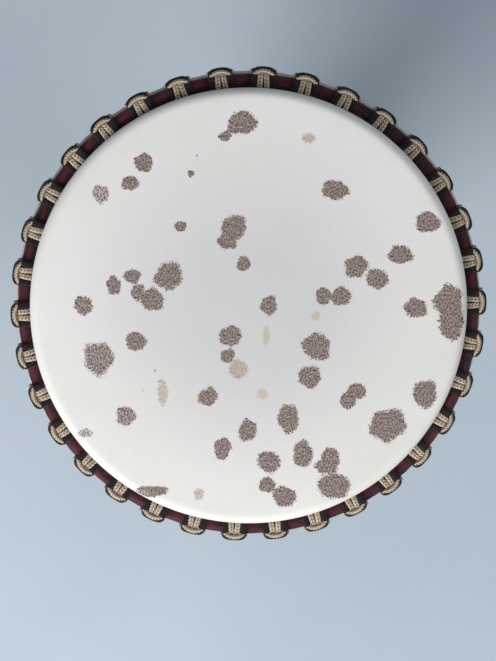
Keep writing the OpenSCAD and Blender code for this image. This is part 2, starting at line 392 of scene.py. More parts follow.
class Graph:
    """Short ways to write a material's nodes."""

    def __init__(self, name: str, **constants: object) -> None:
        """Starts a material.

        Args:
            name: name of the material.
            constants: values of the main shader's sockets, with _ for a space.
        """
        self.material = bpy.data.materials.new(name)
        self.material.use_nodes = True
        self.tree = self.material.node_tree
        self.shader = self.tree.nodes["Principled BSDF"]
        for key, value in constants.items():
            self.shader.inputs[key.replace("_", " ")].default_value = value

    def node(self, kind: str, inputs: dict | None = None, **settings: object) -> bpy.types.Node:
        """Adds a node.

        Args:
            kind: the node's type, without ShaderNode.
            inputs: a value or a socket to link for each input, by its name or number.
            settings: the node's own settings.

        Returns:
            The new node.
        """
        made = self.tree.nodes.new("ShaderNode" + kind)
        for key, value in settings.items():
            setattr(made, key, value)
        for key, value in (inputs or {}).items():
            self.set(made.inputs[key], value)
        return made

    def set(self, socket: Socket, value: object) -> None:
        """Fills a socket.

        Args:
            socket: the input to fill.
            value: the socket to link to it, or its value.
        """
        if isinstance(value, bpy.types.NodeSocket):
            self.tree.links.new(value, socket)
        else:
            socket.default_value = value

    def place(self) -> Socket:
        """Object coordinates."""
        return self.node("TexCoord").outputs["Object"]

    def uv(self) -> tuple[Socket, Socket]:
        """The two parts of the piece's own UV map."""
        parts = self.node("SeparateXYZ", {0: self.node("UVMap", uv_map="UVMap").outputs[0]})
        return parts.outputs[0], parts.outputs[1]

    def attribute(self, name: str) -> Socket:
        """A number kept on the piece's vertices."""
        return self.node("Attribute", attribute_name=name).outputs["Fac"]

    def stretched(self, vector: Socket, scale: Sequence[float]) -> Socket:
        """Coordinates scaled by a different amount each way."""
        return self.node("Mapping", {"Vector": vector, "Scale": tuple(scale)}).outputs[0]

    def noise(self, vector: Socket, scale: float, detail: float = 4, rough: float = 0.55) -> Socket:
        """Soft noise from 0 to 1."""
        inputs = {"Vector": vector, "Scale": scale, "Detail": detail, "Roughness": rough}
        return self.node("TexNoise", inputs).outputs[0]

    def cells(self, vector: Socket, scale: float) -> Socket:
        """Distance to the nearest of many scattered points."""
        return self.node("TexVoronoi", {"Vector": vector, "Scale": scale}).outputs["Distance"]

    def math(self, operation: str, first: Value, second: Value = 0.0) -> Socket:
        """One sum on two numbers."""
        return self.node("Math", {0: first, 1: second}, operation=operation).outputs[0]

    def between(self, value: Value, low: float, high: float, out_low: float = 0,
                out_high: float = 1) -> Socket:
        """Turns a range of numbers softly into another range."""
        return self.node("MapRange", {"Value": value, "From Min": low, "From Max": high, "To Min": out_low,
                                      "To Max": out_high}, interpolation_type="SMOOTHSTEP").outputs[0]

    def blend(self, share: Value, first: object, second: object) -> Socket:
        """Mixes two colours.

        Args:
            share: share of the second colour, from 0 to 1.
            first: the first colour or its socket.
            second: the second colour or its socket.

        Returns:
            The socket that gives the mixed colour.
        """
        mixer = self.node("Mix", data_type="RGBA")
        self.set(mixer.inputs["Factor"], share)
        self.set(mixer.inputs[6], first)
        self.set(mixer.inputs[7], second)
        return mixer.outputs[2]

    def bump(self, height: Socket, distance: float, strength: float = 1.0,
             under: Socket | None = None) -> Socket:
        """Adds relief.

        Args:
            height: the socket that gives the height, from 0 to 1.
            distance: how far the relief stands out.
            strength: how much of it shows.
            under: the relief that it lies on.

        Returns:
            The socket that gives the surface's direction.
        """
        made = self.node("Bump", {"Height": height, "Distance": distance, "Strength": strength})
        if under is not None:
            self.set(made.inputs["Normal"], under)
        return made.outputs[0]

    def finish(self, base: object, rough: object | None = None,
               normal: Socket | None = None) -> bpy.types.Material:
        """Joins the colour, the roughness and the relief to the shader.

        Args:
            base: the base colour or the socket that gives it.
            rough: the roughness or the socket that gives it.
            normal: the socket that gives the relief.

        Returns:
            The finished material.
        """
        self.set(self.shader.inputs["Base Color"], base)
        if rough is not None:
            self.set(self.shader.inputs["Roughness"], rough)
        if normal is not None:
            self.set(self.shader.inputs["Normal"], normal)
        return self.material


@dataclass(frozen=True)
class Goatskin:
    """Scraped goatskin: chalky white, with brown hair spots and a coarser, yellower edge."""

    white: tuple = colour(238, 237, 233)
    cream: tuple = colour(222, 218, 211)
    # Grey that the middle of the head turns to.
    greyer_middle: tuple = colour(214, 213, 212)
    spot: tuple = colour(172, 154, 146)
    dark: tuple = colour(86, 69, 65)
    stain: tuple = colour(196, 174, 146)
    edge: tuple = colour(192, 176, 158)

    def material(self) -> bpy.types.Material:
        """Builds the finish from the attributes spot, tone, stain and edge of the head.

        Returns:
            The finished material.
        """
        g = Graph("goatskin", Specular_IOR_Level=0.35)
        place = g.place()
        cloudy = g.between(g.noise(place, 9, 5, 0.6), 0.35, 0.7)
        base = g.blend(g.math("MULTIPLY", cloudy, 0.55), self.white, self.cream)
        parts = g.node("SeparateXYZ", {0: place})
        from_axis = g.math("SQRT", g.math("ADD", g.math("POWER", parts.outputs[0], 2),
                                          g.math("POWER", parts.outputs[1], 2)))
        # Greyer towards the middle of the head, fading out by about 165 mm from the axis.
        greyer_middle = g.between(g.math("ADD", from_axis, g.math("MULTIPLY", cloudy, 0.03)), 0.05, 0.165, 1.0, 0.0)
        base = g.blend(greyer_middle, base, self.greyer_middle)
        ragged = g.math("SUBTRACT", g.noise(place, 380, 5, 0.7), 0.5)
        tone = g.attribute("tone")
        depth = g.math("ADD", g.attribute("spot"), g.math("MULTIPLY", ragged, 0.6))
        grain = g.noise(g.stretched(place, (1.0, 0.6, 1.0)), 1050, 3, 0.7)
        thick = g.math("MULTIPLY", g.between(depth, -0.12, 0.3), tone)
        hairs = g.between(g.math("ADD", grain, g.math("MULTIPLY", thick, 0.42)), 0.66, 0.8)
        veil = g.math("MULTIPLY", g.between(depth, 0.0, 0.35), g.math("MULTIPLY", tone, 0.62))
        spotted = g.blend(g.between(grain, 0.4, 0.6), self.spot, self.dark)
        base = g.blend(veil, base, self.spot)
        base = g.blend(hairs, base, spotted)
        pale = g.between(g.math("ADD", g.attribute("stain"), g.math("MULTIPLY", ragged, 0.9)), 0.0, 0.35)
        base = g.blend(g.math("MULTIPLY", pale, 0.55), base, self.stain)
        hairy = g.noise(g.stretched(place, (1, 1, 0.25)), 900, 3, 0.7)
        rim = g.blend(g.between(hairy, 0.35, 0.7), self.edge, self.cream)
        base = g.blend(g.attribute("edge"), base, rim)
        pores = g.between(g.cells(place, 1100), 0.0, 0.5)
        fine = g.noise(place, 620, 6, 0.65)
        relief = g.bump(pores, 0.05 * MM, 0.5)
        relief = g.bump(fine, 0.22 * MM, 0.6, relief)
        rough = g.between(fine, 0.3, 0.7, 0.5, 0.68)
        return g.finish(base, rough, relief)


@dataclass(frozen=True)
class BraidedCord:
    """Braided cord: two leaning rows of stitches on each face, with painted highlight where they stand out
    and painted shade between them, varied in worn patches.
    """

    name: str
    light: tuple
    deep: tuple
    columns: int
    roughness: float = 0.72
    sheen: float = 0.15

    def material(self) -> bpy.types.Material:
        """Builds the finish along the cord's own UV map.

        Returns:
            The finished material.
        """
        g = Graph(self.name, Roughness=self.roughness, Sheen_Weight=self.sheen, Specular_IOR_Level=0.3)
        along, around = g.uv()
        column = g.math("MULTIPLY", around, self.columns)
        across = g.math("SUBTRACT", g.math("FRACT", column), 0.5)
        odd = g.math("MODULO", g.math("FLOOR", column), 2)
        lean = g.math("SUBTRACT", g.math("MULTIPLY", odd, -2), -1)
        phase = g.math("ADD", along, g.math("MULTIPLY", lean, across))
        wave = g.math("ABSOLUTE", g.math("SINE", g.math("MULTIPLY", phase, math.pi)))
        crown = g.math("COSINE", g.math("MULTIPLY", across, 0.8 * math.pi))
        stitch = g.math("MULTIPLY", g.math("POWER", wave, 0.7), crown)
        place = g.place()
        threads = g.noise(place, 2600, 3, 0.6)
        worn = g.noise(place, 140, 4, 0.6)
        height = g.math("ADD", stitch, g.math("MULTIPLY", threads, 0.25))
        # Painted highlight on the stitches' crowns and painted shade in the gaps between them, varied by worn
        # patches.
        shade = g.between(g.math("ADD", height, g.math("MULTIPLY", worn, 0.5)), 0.35, 1.35)
        base = g.blend(shade, self.deep, self.light)
        return g.finish(base, None, g.bump(height, 0.35 * MM, 0.9))


@dataclass(frozen=True)
class WoundCloth:
    """Thin woven cloth wound on a ring, with stretched folds along it and painted shade in their hollows."""

    name: str = "wine_cloth"
    light: tuple = colour(96, 30, 44)
    # The deep colour is the painted shade of the fold hollows.
    deep: tuple = colour(24, 8, 14)

    def material(self) -> bpy.types.Material:
        """Builds the finish: UV goes along the ring and round its bar.

        Returns:
            The finished material.
        """
        g = Graph(self.name, Sheen_Weight=0.12, Specular_IOR_Level=0.3)
        along, around = g.uv()
        place = g.place()
        weave_a = g.math("SINE", g.math("MULTIPLY", along, 2 * math.pi * 1500))
        weave_b = g.math("SINE", g.math("MULTIPLY", around, 2 * math.pi * 44))
        weave = g.math("MULTIPLY", weave_a, weave_b)
        flow = g.node("CombineXYZ", {0: g.math("MULTIPLY", along, 90), 1: g.math("MULTIPLY", around, 9)})
        folds = g.noise(flow.outputs[0], 1.0, 4, 0.6)
        patches = g.noise(place, 55, 3, 0.6)
        # The deep colour in the fold hollows is painted shade; the patches vary the cloth's tone at random.
        shade = g.between(g.math("ADD", folds, g.math("MULTIPLY", patches, 0.6)), 0.55, 1.05)
        base = g.blend(shade, self.deep, self.light)
        relief = g.bump(weave, 0.06 * MM, 0.5)
        relief = g.bump(folds, 0.9 * MM, 0.6, relief)
        return g.finish(base, g.between(folds, 0.3, 0.7, 0.5, 0.72), relief)


@dataclass(frozen=True)
class CarvedWood:
    """Oiled hardwood cut from one log: its grain runs along the drum, with pores and darker veins."""

    light: tuple = colour(150, 92, 56)
    deep: tuple = colour(84, 44, 25)
    vein: tuple = colour(52, 26, 16)

    def material(self) -> bpy.types.Material:
        """Builds the finish on object coordinates.

        Returns:
            The finished material.
        """
        g = Graph("carved_wood", Coat_Weight=0.18, Coat_Roughness=0.35)
        place = g.place()
        warp = g.noise(g.stretched(place, (1, 1, 0.35)), 6, 3, 0.5)
        shift = g.node("CombineXYZ", {0: g.math("MULTIPLY", warp, 0.03), 1: g.math("MULTIPLY", warp, 0.05)})
        moved = g.node("VectorMath", {0: place, 1: shift.outputs[0]}, operation="ADD").outputs[0]
        rings = g.noise(g.stretched(moved, (1, 1, 0.08)), 70, 4, 0.6)
        fibre = g.noise(g.stretched(place, (1, 1, 0.035)), 900, 4, 0.65)
        pores = g.between(g.noise(g.stretched(place, (1, 1, 0.06)), 1500, 2, 0.5), 0.64, 0.74)
        tint = g.between(g.math("ADD", rings, g.math("MULTIPLY", fibre, 0.45)), 0.48, 0.98)
        base = g.blend(tint, self.deep, self.light)
        base = g.blend(g.math("MULTIPLY", pores, 0.7), base, self.vein)
        veins = g.between(g.noise(g.stretched(moved, (1, 1, 0.05)), 28, 2, 0.5), 0.6, 0.68)
        base = g.blend(g.math("MULTIPLY", veins, 0.5), base, self.vein)
        height = g.math("SUBTRACT", g.math("MULTIPLY", fibre, 0.6), pores)
        rough = g.between(rings, 0.3, 0.7, 0.34, 0.52)
        return g.finish(base, rough, g.bump(height, 0.12 * MM, 0.7))


@dataclass(frozen=True)
class Metal:
    """Bare or plated metal, dulled and rusted in patches."""

    name: str
    bright: tuple
    dull: tuple
    smooth: float

    def material(self) -> bpy.types.Material:
        """Builds the finish on object coordinates.

        Returns:
            The finished material.
        """
        g = Graph(self.name, Metallic=1.0)
        place = g.place()
        patches = g.between(g.noise(place, 160, 5, 0.65), 0.4, 0.65)
        scratches = g.noise(g.stretched(place, (1, 1, 6)), 700, 3, 0.6)
        base = g.blend(patches, self.bright, self.dull)
        rough = g.between(g.math("ADD", patches, scratches), 0.3, 1.6, self.smooth, self.smooth + 0.35)
        return g.finish(base, rough, g.bump(scratches, 0.05 * MM, 0.4))


@dataclass(frozen=True)
class TyreRubber:
    """A strip of old tyre rubber, dusty in its grain and scuffed pale along its foot."""

    def material(self) -> bpy.types.Material:
        """Builds the finish on object coordinates.

        Returns:
            The finished material.
        """
        g = Graph("tyre_rubber", Specular_IOR_Level=0.3)
        place = g.place()
        dust = g.between(g.noise(place, 60, 5, 0.7), 0.45, 0.75)
        grain = g.noise(place, 800, 3, 0.6)
        height = g.node("SeparateXYZ", {0: place}).outputs[2]
        scuffed = g.math("MULTIPLY", g.between(height, 0.010, 0.0), g.between(grain, 0.4, 0.6))
        base = g.blend(g.math("MULTIPLY", dust, 0.4), colour(30, 30, 31), colour(84, 80, 74))
        base = g.blend(g.math("MULTIPLY", scuffed, 0.5), base, colour(112, 108, 100))
        return g.finish(base, g.between(grain, 0.3, 0.7, 0.62, 0.86), g.bump(grain, 0.15 * MM, 0.8))


@dataclass(frozen=True)
class GoatHair:
    """Short stiff goat hair, pale with a few brown strands."""

    def material(self) -> bpy.types.Material:
        """Builds the finish on object coordinates.

        Returns:
            The finished material.
        """
        g = Graph("goat_hair", Roughness=0.6, Sheen_Weight=0.2)
        shade = g.between(g.noise(g.place(), 260, 2, 0.5), 0.38, 0.66)
        return g.finish(g.blend(shade, colour(214, 205, 188), colour(140, 118, 98)))


@dataclass(frozen=True)
class PlainFloor:
    """A plain pale floor with the faintest cloudiness."""

    def material(self) -> bpy.types.Material:
        """Builds the finish on object coordinates.

        Returns:
            The finished material.
        """
        g = Graph("pale_floor", Specular_IOR_Level=0.2)
        shade = g.noise(g.place(), 1.6, 4, 0.5)
        base = g.blend(g.between(shade, 0.3, 0.7), colour(196, 209, 219), colour(186, 200, 211))
        return g.finish(base, g.between(shade, 0.3, 0.7, 0.6, 0.7))


class Finishes:
    """All finishes of the drum, each built once."""

    def __init__(self) -> None:
        """Builds every material."""
        self.goatskin = Goatskin().material()
        # Each cord's first colour is its painted highlight on the stitch crowns, its second its painted shade
        # between the stitches.
        self.tan_cord = BraidedCord("tan_cord", colour(224, 208, 184), colour(116, 93, 70), 4).material()
        self.black_cord = BraidedCord("black_cord", colour(33, 25, 29), colour(7, 5, 6), 4).material()
        self.rope = BraidedCord("tan_rope", colour(198, 176, 144), colour(110, 88, 62), 8).material()
        self.cloth = WoundCloth().material()
        self.wood = CarvedWood().material()
        self.iron = Metal("ring_iron", colour(120, 116, 112), colour(88, 62, 46), 0.45).material()
        self.tack = Metal("tack_metal", colour(206, 196, 176), colour(150, 132, 104), 0.28).material()
        self.rubber = TyreRubber().material()
        self.hair = GoatHair().material()
        self.floor = PlainFloor().material()


def dress(piece: Piece, material: bpy.types.Material) -> None:
    """Gives a piece one material all over."""
    piece.data.materials.clear()
    piece.data.materials.append(material)


def dress_node(name: str, material: bpy.types.Material) -> None:
    """Gives a node of the frame a finish, and leaves its mesh as it is.

    Args:
        name: name of the node.
        material: its finish.
    """
    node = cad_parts[name]
    for slot in node.material_slots:
        slot.material = material
    log.info("node %s: %s", name, material.name)


def report(piece: Piece) -> None:
    """Writes what a finished piece holds to the log."""
    log.info("piece %s: %d faces", piece.name, len(piece.data.polygons))


# ---------------------------------------------------------------- carved shell


@dataclass
class CarvedShell:
    """The goblet shell, with its grooves and the marks of the carver's tools."""

    height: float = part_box("shell")[1].z
    rim_r: float = 164 * MM
    throat_r: float = 81 * MM
    throat_z: float = 285 * MM
    foot_r: float = 126 * MM
    bore_r: float = 50 * MM
    rim_wall: float = 14 * MM
    belly_wall: tuple = (16 * MM, 8 * MM)
    foot_wall: float = 16 * MM
    edge_round: float = 7 * MM
    inner_round: float = 4 * MM
    foot_band: float = 29 * MM
    foot_slope: float = 0.12
    foot_narrowing: float = 12 * MM
    bore_above: float = 12 * MM
    # How far the outline's handles reach, as shares of the stem's height or of the bowl's, and how they lean.
    foot_reach: float = 0.18
    stem_reach: float = 0.55
    throat_reach: float = 0.135
    bore_reach: float = 0.15
    belly_reach: float = 0.225
    side_reach: float = 0.15
    belly_lean: float = 0.2
    rim_lean: float = 0.13
    bowl_lean: float = 0.36
    side_lean: float = 0.14
    # The belly's place, as shares of the bowl's height: in from the rim and up from the throat.
    belly_in: float = 0.073
    belly_up: float = 0.525
    steps: int = 240
    groove_heights: tuple = (40 * MM, 46 * MM, 262 * MM, 270 * MM, 300 * MM)
    groove_depth: float = 1.1 * MM
    groove_width: float = 1.6 * MM
    chisel_depth: float = 0.35 * MM
    gouge_depth: float = 1.1 * MM

    def belly(self) -> np.ndarray:
        """Where the bowl stops swelling, as radius and height."""
        bowl = self.height - self.throat_z
        return np.array([self.rim_r - self.belly_in * bowl, self.throat_z + self.belly_up * bowl])

    def outside(self) -> Outline:
        """The outline outside.

        Returns:
            Its points as radius and height, from the foot up to the top of the bearing edge.
        """
        bowl = self.height - self.throat_z
        edge = np.array([self.rim_r, self.height - self.edge_round])
        belly = self.belly()
        foot_top = np.array([self.foot_r - self.foot_slope * self.foot_band, self.foot_band])
        throat = np.array([self.throat_r, self.throat_z])
        points = [(self.foot_r, 0.0)]
        foot_way = self.foot_reach * self.throat_z * np.array([-self.foot_slope, 1])
        points += bezier([foot_top, foot_top + foot_way,
                          throat - np.array([0, self.stem_reach * self.throat_z]), throat], 90)
        points += bezier([throat, throat + np.array([0, self.throat_reach * bowl]),
                          belly - self.belly_reach * bowl * np.array([self.belly_lean, 1]), belly], 56)[1:]
        points += bezier([belly, belly + self.side_reach * bowl * np.array([self.belly_lean, 1]),
                          edge - self.side_reach * bowl * np.array([self.rim_lean, 1]), edge], 40)[1:]
        return points + arc((edge[0] - self.edge_round, edge[1]), self.edge_round, 12, 90, 8)

    def inside(self) -> Outline:
        """The outline of the hollow.

        Returns:
            Its points as radius and height, from the foot's mouth up to the bearing edge.
        """
        bowl = self.height - self.throat_z
        rim = self.rim_r - self.rim_wall
        belly = self.belly() - np.array(self.belly_wall)
        bore = np.array([self.bore_r, self.throat_z + self.bore_above])
        mouth = self.foot_r - self.foot_wall
        points = bezier([(mouth, 0), (mouth - self.foot_narrowing, self.throat_z / 4),
                         (self.bore_r, self.throat_z / 2), bore], 40)
        points += bezier([bore, bore + np.array([0, self.bore_reach * bowl]),
                          belly - self.belly_reach * bowl * np.array([self.bowl_lean, 1]), belly], 40)[1:]
        points += bezier([belly, belly + self.side_reach * bowl * np.array([self.side_lean, 1]),
                          (rim, self.height - self.side_reach * bowl),
                          (rim, self.height - self.inner_round)], 24)[1:]
        centre = (rim + self.inner_round, self.height - self.inner_round)
        return points + arc(centre, self.inner_round, 168, 90, 5)

    def carve(self, piece: Piece) -> None:
        """Cuts the grooves outside, the shallow chisel facets and the gouge marks inside.

        Args:
            piece: the turned shell.
        """
        points = vertices_of(piece)
        radius = np.hypot(points[:, 0], points[:, 1])
        angle = np.arctan2(points[:, 1], points[:, 0])
        z = points[:, 2]
        outer, inner = np.array(self.outside()), np.array(self.inside())
        middle = (np.interp(z, outer[:, 1], outer[:, 0]) + np.interp(z, inner[:, 1], inner[:, 0])) / 2
        outside = radius > middle
        cut = sum(np.exp(-(((z - h) / self.groove_width) ** 2)) for h in self.groove_heights)
        facets = np.sin(22 * angle + 3.1 * np.sin(z / (38 * MM)))
        facets *= np.sin(z / (17 * MM) + 2.2 * np.sin(3 * angle))
        gouges = np.abs(np.sin(9 * angle + z / (9 * MM))) ** 0.6
        free = np.clip((self.height - 22 * MM - z) / (20 * MM), 0, 1)
        free *= np.clip((z - self.foot_band) / (4 * MM), 0, 1)
        shift = np.where(outside, -self.groove_depth * cut - self.chisel_depth * (1 + facets) * free,
                         self.gouge_depth * (gouges - 1) * 0.5 * np.clip(z / (20 * MM), 0, 1) * free)
        new_radius = np.maximum(radius + shift, 1 * MM)
        points[:, 0], points[:, 1] = new_radius * np.cos(angle), new_radius * np.sin(angle)
        move_vertices(piece, points)

    def build(self, finishes: Finishes) -> Piece:
        """Models and dresses the shell.

        Args:
            finishes: the drum's finishes.

        Returns:
            The finished piece.
        """
        piece = lathe("carved_shell", self.outside() + self.inside()[::-1], self.steps, closed=True)
        self.carve(piece)
        dress(piece, finishes.wood)
        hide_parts("shell")
        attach(piece, Body.SHELL.value)
        report(piece)
        return piece


# ---------------------------------------------------------------- goatskin head


@dataclass(frozen=True)
class Spot:
    """One mark on the skin: its place, its half sizes and how strong it is."""

    x: float
    y: float
    wide: float
    tall: float
    tone: float = 0.9


def spots(*rows: tuple) -> list[Spot]:
    """Marks from rows of millimetres: place, half sizes and, where it isn't usual, strength."""
    return [Spot(r[0] * MM, r[1] * MM, r[2] * MM, r[3] * MM, *(r[4:])) for r in rows]


@dataclass
class GoatskinHead:
    """The skin: flat over the bearing edge, down inside the crown ring and gathered round the flesh ring.

    The hitches press the gathered hide in, so it swells between them.
    """

    top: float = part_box("drum_head")[1].z
    shell_top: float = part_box("shell")[1].z
    rim_r: float = 164 * MM
    edge_round: float = 7 * MM
    skin: float = 1 * MM
    rim_slope: float = 0.13
    collar_above: float = 6 * MM
    collar_turn: float = 7 * MM
    hide_from: float = 215
    hide_to: float = 455
    flesh: Ring = field(default_factory=lambda: Ring.of("flesh_ring"))
    crown: Ring = field(default_factory=lambda: Ring.of("crown_ring"))
    ring_step: float = 2.2 * MM
    steps: int = 300
    pleats: int = 96
    pleat_depth: float = 0.35 * MM
    bulge: float = 1.1 * MM
    # Width of the circle that the skin was cut to.
    cut: float = 430 * MM
    # Shift of all the marks from the places in the lists.
    marks_at: tuple[float, float] = (-0.8 * MM, 3.7 * MM)
    brown: list = field(default_factory=lambda: spots(
        (-4, 135, 12, 10), (-17, 125, 5, 4), (-77, 106, 8, 7.5), (-87, 91, 7, 6.5), (-42, 98, 3, 3),
        (65, 86, 11, 8), (134, 62, 10, 9), (-50, 59, 5, 4.5), (-10, 58, 10, 11), (-15, 48, 8, 7),
        (-3, 31, 6, 6),
        (114, 38, 10, 8), (81, 29, 10, 9), (97, 20, 9, 8.5), (-59, 22, 12, 11), (-86, 22, 7, 6),
        (-100, 15, 6, 8), (-71, 4, 10, 9), (57, 7, 7, 7), (70, 7, 8, 8), (16, 0, 7, 8), (126, -2, 10, 8),
        (151, 2, 12, 15), (153, -14, 10, 14), (-13, -23, 9, 9), (-15, -38, 6, 6), (-84, -27, 9, 8),
        (52, -31, 11, 12), (47, -54, 9, 10), (-112, -40, 13, 14, 0.72), (-30, -69, 8, 8), (82, -65, 8, 7),
        (76, -72, 7, 7), (134, -67, 11, 11), (-92, -84, 8, 9, 0.7), (31, -86, 9, 12), (106, -91, 15, 14),
        (0, -95, 8, 9), (-19, -109, 7, 10), (42, -113, 8, 12), (63, -117, 8, 10), (60, -122, 10, 7),
        (66, -138, 14, 11),
        (16, -119, 10, 9), (15, -137, 7, 7), (28, -146, 10, 9), (-73, -142, 14, 5), (-79, -64, 1.6, 1.6),
        (-66, -58, 1.4, 3, 0.6), (-70, -50, 1.2, 2, 0.6), (-109, 83, 7, 8, 0.6), (-123, 0, 8, 8, 0.8),
        (-82, 10, 6, 7, 0.8), (-123, -97, 7, 4, 0.55), (45, 124, 6, 5, 0.4), (-37, 111, 1.2, 1.2),
        (-7, -48, 8, 9, 0.45), (-64, -66, 5, 12, 0.35), (-37, -144, 5, 6, 0.4)))
    pale: list = field(default_factory=lambda: spots(
        (45, 124, 5, 4), (51, -8, 4, 4), (14, -23, 3, 9), (-7, -48, 7, 8), (11, -67, 5, 5), (-37, -144, 4, 5),
        (-64, -66, 4, 10)))

    def outline(self) -> Outline:
        """The section of the skin.

        Returns:
            Its points as radius and height, from the axis along its upper side and back along its lower side.
        """
        edge = (self.rim_r - self.edge_round, self.shell_top - self.edge_round)
        round_mid = self.edge_round + TOUCH + self.skin / 2
        line = [(r, self.shell_top + TOUCH + self.skin / 2)
                for r in np.arange(0, edge[0] - self.ring_step, self.ring_step)]
        half = [self.skin / 2] * len(line)
        corner = arc(edge, round_mid, 90, -math.degrees(math.atan(self.rim_slope)), 10)
        line += corner
        half += [self.skin / 2] * len(corner)
        down = np.array([-self.rim_slope, -1]) / math.hypot(self.rim_slope, 1)
        end = np.array(corner[-1]) + down * (self.top - self.crown.z - self.edge_round - self.collar_above)
        hide_mid = self.flesh.bar + TOUCH + HIDE / 2
        wrap = arc((self.flesh.radius, self.flesh.z), hide_mid, self.hide_from, self.hide_to, 26)
        turn = [end, end + down * self.collar_turn + np.array([0.5 * MM, 0]),
                end + (np.array(wrap[0]) - end) * 0.35 + down * self.collar_turn * 1.3]
        line += [tuple(p) for p in turn]
        half += [self.skin / 2] * len(turn)
        line += wrap
        half += [HIDE / 2] * len(wrap)
        points = np.array(line)
        way = np.gradient(points, axis=0)
        way /= np.linalg.norm(way, axis=1)[:, None]
        normal = np.column_stack([-way[:, 1], way[:, 0]])
        thick = np.array(half)[:, None]
        upper, lower = points + normal * thick, points - normal * thick
        upper[0, 0] = lower[0, 0] = 0
        tip = points[-1] + way[-1] * HIDE / 2
        return [tuple(p) for p in upper] + [tuple(tip)] + [tuple(p) for p in lower[::-1]]

    def marked(self, points: np.ndarray, marks: list[Spot],
               rng: np.random.Generator) -> tuple[np.ndarray, np.ndarray]:
        """How deep each vertex lies in the nearest mark.

        Args:
            points: the skin's vertices.
            marks: the marks to draw.
            rng: source of the marks' ragged outlines.

        Returns:
            The depth, from below 0 outside to 1 in a mark's middle, and the strength of that mark.
        """
        seen = turned(points, CAMERA_ROLL)[:, :2] - np.array(self.marks_at)
        depth = np.full(len(points), -1.0)
        tone = np.full(len(points), 0.9)
        for mark in marks:
            dx, dy = (seen[:, 0] - mark.x) / mark.wide, (seen[:, 1] - mark.y) / mark.tall
            angle = np.arctan2(dy, dx)
            wobble = 1 + sum(rng.uniform(0.02, 0.08) * np.cos(k * angle + rng.uniform(0, 6.28))
                             for k in (2, 3, 5))
            here = np.clip(1 - np.hypot(dx, dy) / wobble, -1, 1)
            tone = np.where(here > depth, mark.tone, tone)
            depth = np.maximum(depth, here)
        on_top = points[:, 2] > self.top - 12 * MM
        return np.where(on_top, depth, -1.0), tone

    def gather(self, piece: Piece) -> None:
        """Pleats the hide where it is gathered round the flesh ring.

        Args:
            piece: the turned skin.
        """
        points = vertices_of(piece)
        radius = np.hypot(points[:, 0], points[:, 1])
        angle = np.arctan2(points[:, 1], points[:, 0])
        away = np.column_stack([radius - self.flesh.radius, points[:, 2] - self.flesh.z])
        distance = np.linalg.norm(away, axis=1)
        outer = self.flesh.bar + TOUCH + HIDE
        near = (distance > outer - 0.4 * MM) & (distance < outer + 0.6 * MM)
        near &= points[:, 2] < self.flesh.z + outer
        wave = np.sin(self.pleats * angle + 2.2 * np.sin(7 * angle)) * 0.6 + np.sin(41 * angle) * 0.4
        between = np.abs(np.sin(angle / STEP * math.pi))
        free = np.clip((between - 0.45) / 0.35, 0, 1)
        side = np.clip(np.cos(np.arctan2(away[:, 1], away[:, 0]) - math.radians(15)), 0, 1)
        swell = self.pleat_depth * (wave - 1) / 2 + self.bulge * free**2 * (3 - 2 * free) * side
        shift = np.where(near, swell, 0)[:, None] * away / np.maximum(distance, 1e-6)[:, None]
        radius += shift[:, 0]
        points[:, 2] += shift[:, 1]
        points[:, 0], points[:, 1] = radius * np.cos(angle), radius * np.sin(angle)
        move_vertices(piece, points)

    def build(self, finishes: Finishes) -> Piece:
        """Models, marks and dresses the skin.

        Args:
            finishes: the drum's finishes.

        Returns:
            The finished piece.
        """
        piece = lathe("goatskin_head", self.outline(), self.steps)
        self.gather(piece)
        points = vertices_of(piece)
        rng = np.random.default_rng(SEED)
        depth, tone = self.marked(points, self.brown, rng)
        stain, _ = self.marked(points, self.pale, rng)
        store(piece, "spot", depth)
        store(piece, "tone", tone)
        store(piece, "stain", stain)
        store(piece, "edge", np.clip((self.crown.z - 2 * MM - points[:, 2]) / (4 * MM), 0, 1))
        dress(piece, finishes.goatskin)
        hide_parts("drum_head")
        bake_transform(piece)
        report(piece)
        return piece


